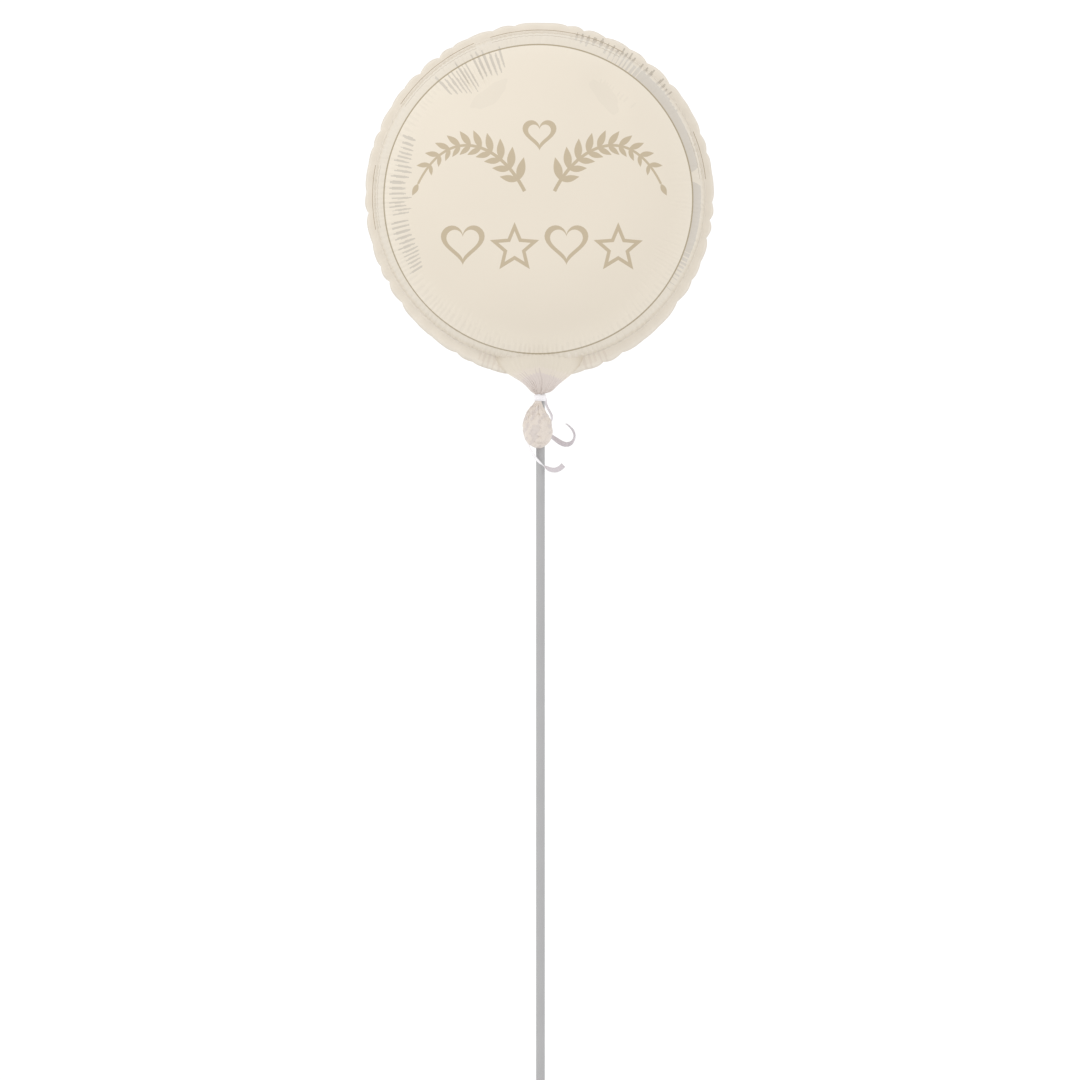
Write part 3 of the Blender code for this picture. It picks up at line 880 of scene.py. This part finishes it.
def add_film(skin, side):
    """One side of the filled film; returns its last ring, at the seam."""
    rings, shares = outer_rings(skin, side)
    inner = print_disc(skin) if side > 0 else back_disc(skin)
    skin.band(inner, rings[0], side, skin_slots((PRINT_DISC_SHARE + shares[0]) / 2, side))
    for index in range(len(rings) - 1):
        middle = (shares[index] + shares[index + 1]) / 2
        slots = skin_slots(middle, side)
        if side > 0 and abs(middle - RING_LINE_SHARE) < 1e-4:
            slots = RING_INK
        elif side > 0 and any(low < middle < high for low, high in FINE_LINE_SHARES):
            slots = np.where(FINE_LINE_COLUMNS, FINE_INK, slots)
        skin.band(rings[index], rings[index + 1], side, slots)
    return rings[-1]


def add_frill(skin, side, last):
    """One side of the crimped seam, from the film's last ring; returns its edge."""
    before = 0.0
    # Painted shade: pleat strokes on the seam, darker than the seam's film
    dark = np.where(np.cos(BETWEEN) > 0, SEAM_HIGHLIGHT_AND_SHADE, CREASE_SHADE)
    for share in FRONT_FRILL_SHARES if side > 0 else BACK_FRILL_SHARES:
        ring = skin.add(frill_point(ANGLES, share, side))
        place = 1 + (before + share) / 2 * SEAM_WIDTH / SEAM_RADIUS
        slots = np.where(in_stroke(BETWEEN, place), dark, SEAM_FOIL)
        if side > 0 and (before, share) == FINE_LINE_FRILL_SHARES:
            slots = np.where(FINE_LINE_COLUMNS, FINE_INK, slots)
        skin.band(last, ring, side, slots)
        last = ring
        before = share
    return last


def build_envelope():
    """Face and back of the film and its seam, in one closed mesh."""
    skin = Skin()
    front, back = [add_frill(skin, side, add_film(skin, side)) for side in (1, -1)]
    skin.band(front, back, 1, SEAM_FOIL)
    new_piece(
        "foil_envelope", np.concatenate(skin.points), skin.faces, ENVELOPE_MATERIALS,
        "foil_balloon", skin.slots)


build_envelope()


# The neck, gathered from the filled skin into the tie

# Sections of the skirt in millimetres: above the tie's middle, left, right, front, back
SKIRT_SECTIONS = (
    (2.6, -4.3, 2.0, 3.1, 3.0), (3.6, -4.8, 3.2, 3.4, 3.0), (4.6, -6.6, 8.0, 4.2, 3.0),
    (5.8, -8.7, 12.0, 5.2, 3.0), (9.0, -11.4, 15.4, 8.0, 3.0), (12.6, -14.7, 18.7, 10.8, 3.0),
    (16.0, -18.8, 23.0, 13.0, 5.5), (19.7, -24.8, 27.8, 15.6, 10.0), (23.8, -32.0, 32.5, 18.2, 15.0),
    (28.0, -38.0, 37.0, 21.0, 20.0), (33.0, -42.0, 41.0, 25.0, 25.0), (38.0, -44.0, 43.5, 30.0, 30.0),
    (44.0, -45.0, 45.0, 35.5, 35.5))
SKIRT_STEP = 0.75
NECK_COLUMNS = 384
NECK_FOLDS = 18
NECK_BOLD_FOLDS = 5

# How far its fine and bold pleats fold in; the fine ones more low down and less at the tie
FINE_FOLD, BOLD_FOLD = 0.0007, 0.0014
MORE_LOW_DOWN, LESS_AT_TIE = 0.0008, 0.0009


def closed_loft(rings):
    """Points and faces of a tube through rings of equal counts, closed at both ends."""
    rings = np.asarray(rings)
    length, count, _ = rings.shape
    faces = []
    for ring in range(length - 1):
        start = ring * count
        for corner in range(count):
            after = (corner + 1) % count
            faces.append((start + corner, start + count + corner, start + count + after, start + after))
    points = rings.reshape(-1, 3)
    first = len(points)
    points = np.concatenate((points, rings[:1].mean(axis=1), rings[-1:].mean(axis=1)))
    last = (length - 1) * count
    for corner in range(count):
        after = (corner + 1) % count
        faces.append((first, corner, after))
        faces.append((first + 1, last + after, last + corner))
    return points, faces


def surface_normals(rings):
    """Outward normals of a lofted tube, from its neighbouring points."""
    along = np.gradient(rings, axis=0)
    across = np.roll(rings, -1, axis=1) - np.roll(rings, 1, axis=1)
    normal = np.cross(across, along)
    size = np.linalg.norm(normal, axis=2, keepdims=True)
    return normal / np.maximum(size, 1e-12)


def folded(place, count, strengths):
    """Sharp valleys at whole places, with rounded ridges between, each as deep as its strength."""
    part = place - np.floor(place)
    valley = np.mod(np.floor(place) + (part > 0.5), count).astype(int)
    return (1 - np.abs(np.sin(math.pi * part)) ** 0.8) * strengths[valley]


def build_neck():
    """The skirt: it leaves the seam as a thin edge and is gathered into pleats at the tie."""
    rows, _ = evenly_spaced(smooth_route(SKIRT_SECTIONS), SKIRT_STEP)
    above, left, right, front, back = (rows / 1000).T
    turns = around(NECK_COLUMNS)
    cosine, sine = np.cos(turns), np.sin(turns)
    across = (1 - cosine) / 2
    pointed = 1.0 + 0.8 * smoothstep(0.004, 0.024, above)[:, None]
    middle = ((left + right) / 2)[:, None]
    half = ((right - left) / 2)[:, None]
    depth = np.where(sine[None, :] > 0, front[:, None], back[:, None])
    random = np.random.default_rng(5)
    fine = random.uniform(0.3, 1.0, NECK_FOLDS)
    large = random.uniform(0.4, 1.0, NECK_BOLD_FOLDS)
    sway = 0.25 * np.sin(90 * above)[:, None]
    fold = folded(NECK_FOLDS * across[None, :] + sway + np.where(sine > 0, 0.0, 0.37), NECK_FOLDS, fine)
    bold = folded(4.6 * across[None, :] + 0.3 - sway, NECK_BOLD_FOLDS, large)
    low = 1 - smoothstep(0.010, 0.026, above)[:, None]
    at_tie = 1 - smoothstep(0.003, 0.008, above)[:, None]
    deep = FINE_FOLD + MORE_LOW_DOWN * low - LESS_AT_TIE * at_tie
    inward = fold * deep + bold * BOLD_FOLD * low * smoothstep(0.003, 0.009, above)[:, None]
    keep = np.abs(sine)[None, :] ** 0.5
    depth = depth * np.abs(sine)[None, :] ** pointed - inward * keep
    rings = np.stack((
        middle + half * cosine, np.repeat((TIE_Y + above)[:, None], NECK_COLUMNS, axis=1),
        np.sign(sine) * np.maximum(depth, 0.0)), axis=2)
    points, faces = closed_loft(rings[::-1])
    # Painted shade: darker low down and in the folds' valleys, paler upwards, in an uneven border that
    # follows the folds
    zone = above[:, None] - 0.009 * (1 - np.abs(cosine)) - 0.004 * fold
    colour = np.where(zone > 0.022, 3, np.where(zone > 0.016, 2, 0))
    slots = np.where((fold > 0.5) & (zone < 0.018), 1, colour)
    slots = np.concatenate((slots[::-1][:-1].ravel(), np.zeros(2 * NECK_COLUMNS, dtype=int)))
    materials = [skirt_shade, skirt_crease_shade, skirt_upper_shade, faint_shade]
    new_piece("foil_neck", points, faces, materials, "foil_balloon", slots)


# The loose end of the foil: down from the tie, left and right edges, from the photo's outline
TAIL_TOP = TIE_Y - TIE_WIDTH / 2
TAIL_EDGES = (
    (-0.0010, -0.0042, 0.0018), (0.0029, -0.0063, 0.0025), (0.0063, -0.0100, 0.0040),
    (0.0102, -0.0126, 0.0062), (0.0153, -0.0148, 0.0094), (0.0194, -0.0164, 0.0114),
    (0.0244, -0.0170, 0.0125), (0.0305, -0.0170, 0.0132), (0.0350, -0.0160, 0.0127),
    (0.0396, -0.0145, 0.0113), (0.0436, -0.0114, 0.0084), (0.0467, -0.0061, 0.0040),
    (0.0480, -0.0020, 0.0006))
TAIL_COLUMNS = 240
TAIL_ROUNDS_AT, TAIL_ROUNDING = 0.044, 0.004
TAIL_FULLNESS = 0.70
TAIL_GATHER = 0.0010
TAIL_CRUMPLE, TAIL_FINE_CRUMPLE = 0.0036, 0.0011


def build_tail():
    """The crumpled loose end below the tie: full in front, flat where the stick is behind."""
    edges = np.array(TAIL_EDGES)
    straight = np.linspace(edges[0, 0], TAIL_ROUNDS_AT, 96)
    rounded = TAIL_ROUNDS_AT + TAIL_ROUNDING * np.sin(np.linspace(0.0, math.pi / 2, 22)[1:])
    down = np.concatenate((straight, rounded))
    left = np.interp(down, edges[:, 0], edges[:, 1])
    right = np.interp(down, edges[:, 0], edges[:, 2])
    for _ in range(3):
        left[1:-1] = (left[:-2] + 2 * left[1:-1] + left[2:]) / 4
        right[1:-1] = (right[:-2] + 2 * right[1:-1] + right[2:]) / 4
    middle = (left + right) / 2
    half = (right - left) / 2
    turns = around(TAIL_COLUMNS)
    cosine, sine = np.cos(turns), np.sin(turns)
    front = np.maximum(TAIL_FULLNESS * half, np.minimum(half, NECK_RADIUS))
    back = np.minimum(front, NECK_RADIUS - 0.0001)
    depth = np.where(sine[None, :] > 0, front[:, None], back[:, None]) * sine[None, :]
    across = middle[:, None] + half[:, None] * cosine[None, :]
    y = np.repeat(TAIL_TOP - down[:, None], TAIL_COLUMNS, axis=1)
    rings = np.stack((across, y, depth), axis=2)
    normal = surface_normals(rings)
    share = (down / down[-1])[:, None]
    place = 15 / math.tau * turns + 0.5 * np.sin(2 * turns + 1.0) + 0.3 * np.sin(5 * turns)
    fold = 1 - np.abs(np.sin(math.pi * place))
    gathered = TAIL_GATHER * fold[None, :] * smoothstep(0.0, 0.12, share)
    gathered *= 1 - smoothstep(0.25, 0.75, share)
    crumple = np.zeros((len(down), TAIL_COLUMNS))
    fold_shade_patches = np.zeros((len(down), TAIL_COLUMNS))
    for row in range(len(down)):
        for column in range(TAIL_COLUMNS):
            spot = Vector(rings[row, column])
            coarse = abs(noise.noise(spot * 120))
            fine = abs(noise.noise(spot * 300 + Vector((3.1, 1.7, 0.4))))
            crumple[row, column] = TAIL_CRUMPLE * (coarse - 0.2) + TAIL_FINE_CRUMPLE * (fine - 0.2)
            slanted = Vector((60 * (spot.x + spot.y), 210 * (spot.x - spot.y), 60 * spot.z))
            fold_shade_patches[row, column] = noise.noise(slanted) + 0.5 * noise.noise(spot * 260)
    crumple *= 0.25 + 0.75 * np.abs(sine)[None, :]
    calm = smoothstep(0.0, 0.10, share) * (1 - smoothstep(0.97, 1.0, share))
    rings = rings + normal * (crumple * calm - gathered)[..., None]
    rings[..., 2] = np.maximum(rings[..., 2], -NECK_RADIUS)
    points, faces = closed_loft(rings)
    # Painted shade: slanted noise patches are painted darker, standing for the shade of the folds
    slots = np.where(fold_shade_patches[:-1] > 0.10, 1, 0).ravel()
    slots = np.concatenate((slots, np.zeros(2 * TAIL_COLUMNS, dtype=int)))
    new_piece("foil_loose_end", points, faces, [loose_foil, loose_fold_shade], "foil_balloon", slots)


build_neck()
build_tail()


# The ribbon wound round neck and stick

def around_neck_and_stick(turns, clearance):
    """The taut outline round neck and stick, in their section: across and towards the face."""
    outward = np.stack((np.cos(turns), np.sin(turns)), axis=1)
    neck = np.array((NECK_OFF_AXIS, 0.0))
    stick = np.array((STICK_OFF_AXIS, STICK_Z))
    on_neck = outward @ neck + NECK_RADIUS > outward @ stick + STICK_RADIUS
    base = np.where(on_neck[:, None], neck, stick)
    reach = np.where(on_neck, NECK_RADIUS, STICK_RADIUS) + clearance
    return base + outward * reach[:, None]


# The ribbon's turns: how far up each lies, how askew it is, and its layer
TIE_TURNS = ((0.0009, 0.05, 0), (-0.0009, -0.06, 1), (0.0001, 0.02, 2))
TIE_HALF_WIDTH = 0.0025
TIE_LAYER = 0.00032
TIE_BULGE = 0.0001
TIE_COLUMNS = 120

# The knot's half sizes across, along the stick and towards the face, and its waist
KNOT_HALF_SIZES = (0.0039, 0.0026, 0.0020)
KNOT_WAIST = 0.22
KNOT_COLUMNS = 32


def build_tie():
    """Three turns of the ribbon, each a little askew."""
    turns = around(TIE_COLUMNS)
    wide = np.linspace(-1.0, 1.0, 5)
    points = []
    faces = []
    for offset, skew, layer in TIE_TURNS:
        inner = GAP + TIE_LAYER * layer
        outer = inner + RIBBON_THICKNESS
        first = len(points)
        profile = [(w * TIE_HALF_WIDTH, inner) for w in wide]
        profile += [(w * TIE_HALF_WIDTH, outer + TIE_BULGE * (1 - w * w)) for w in wide[::-1]]
        for along, clearance in profile:
            flat = around_neck_and_stick(turns, clearance)
            y = TIE_Y + offset + along + skew * flat[:, 0]
            points += [(x, place, z) for x, place, z in zip(flat[:, 0], y, flat[:, 1])]
        loops = len(profile)
        for loop in range(loops):
            start = first + loop * TIE_COLUMNS
            after = first + (loop + 1) % loops * TIE_COLUMNS
            for index in range(TIE_COLUMNS):
                following = (index + 1) % TIE_COLUMNS
                faces.append((start + index, after + index, after + following, start + following))
    new_piece("tie_windings", points, faces, [ribbon_white], "ribbon_tie")


def build_knot():
    """A flat knot behind the stick: a rounded lump with one turn pulled over it."""
    turns = around(KNOT_COLUMNS)
    wide, high, deep = KNOT_HALF_SIZES
    rings = []
    for across in np.linspace(-1.0, 1.0, 25):
        thin = math.sqrt(max(1 - abs(across) ** 2.4, 0.0004))
        waist = 1 + KNOT_WAIST * math.cos(math.pi * across * 2.2)
        rings.append(np.stack((
            np.full(KNOT_COLUMNS, STICK_OFF_AXIS + across * wide),
            TIE_Y + high * thin * waist * np.cos(turns) / (1 + KNOT_WAIST),
            KNOT_Z + deep * thin * waist * np.sin(turns) / (1 + KNOT_WAIST)), axis=1))
    points, faces = closed_loft(rings)
    new_piece("tie_knot", points, faces, [ribbon_white], "ribbon_tie")


build_tie()
build_knot()

# The stick keeps its CAD solid and takes a better material
for material_slot in frame["nodes"]["balloon_stick"].material_slots:
    material_slot.material = stick_grey


# Floor and light

# Where the studio is brightest, and how bright it is from its dark side, 0, to there, 1
BRIGHTEST_SIDE = (0.12, 0.45, 0.88)
WORLD_LEVELS = ((0.0, 0.62), (0.2, 0.70), (0.4, 0.82), (0.55, 0.91), (0.75, 0.98), (1.0, 1.0))
WORLD_STRENGTH = 1.06
FLOOR_REACH = 30.0
FLOOR_HEIGHT = -0.0002


def add_floor():
    mesh = bpy.data.meshes.new("floor")
    corners = [(x * FLOOR_REACH, y * FLOOR_REACH, 0) for x, y in ((-1, -1), (1, -1), (1, 1), (-1, 1))]
    mesh.from_pydata(corners, [], [(0, 1, 2, 3)])
    mesh.materials.append(floor_white)
    floor = bpy.data.objects.new("floor", mesh)
    bpy.context.scene.collection.objects.link(floor)
    floor.location.z = FLOOR_HEIGHT


def add_light(name, place, size, power, aim):
    """A softbox that shades the film but isn't mirrored in it."""
    data = bpy.data.lights.new(name, "AREA")
    data.shape = "RECTANGLE"
    data.size, data.size_y = size
    data.energy = power
    light = bpy.data.objects.new(name, data)
    light.location = place
    toward = Vector(aim) - Vector(place)
    light.rotation_euler = toward.to_track_quat("-Z", "Y").to_euler()
    light.visible_camera = False
    light.visible_glossy = False
    bpy.context.scene.collection.objects.link(light)


def add_world():
    """A white studio, nearly even, a little brighter above."""
    world = bpy.data.worlds.new("studio")
    world.use_nodes = True
    nodes, links = world.node_tree.nodes, world.node_tree.links
    coordinates = nodes.new("ShaderNodeTexCoord")
    towards = nodes.new("ShaderNodeVectorMath")
    towards.operation = "DOT_PRODUCT"
    towards.inputs[1].default_value = BRIGHTEST_SIDE
    span = nodes.new("ShaderNodeMapRange")
    span.inputs["From Min"].default_value = -1.0
    span.inputs["From Max"].default_value = 1.0
    ramp = nodes.new("ShaderNodeValToRGB")
    steps = ramp.color_ramp.elements
    steps[0].position, steps[1].position = 0.0, 1.0
    for place, _ in WORLD_LEVELS[1:-1]:
        steps.new(place)
    for step, (place, level) in zip(steps, WORLD_LEVELS):
        step.position = place
        step.color = (level, level * 0.995, level, 1.0)
    links.new(coordinates.outputs["Generated"], towards.inputs[0])
    links.new(towards.outputs["Value"], span.inputs["Value"])
    links.new(span.outputs["Result"], ramp.inputs["Fac"])
    links.new(ramp.outputs["Color"], nodes["Background"].inputs["Color"])
    nodes["Background"].inputs["Strength"].default_value = WORLD_STRENGTH
    bpy.context.scene.world = world


add_floor()
add_world()
add_light("key_softbox", place=(-1.9, 1.35, 1.9), size=(1.3, 1.3), power=9.0, aim=(0.0, 0.37, 0.1))
bpy.context.scene.view_settings.view_transform = "Standard"
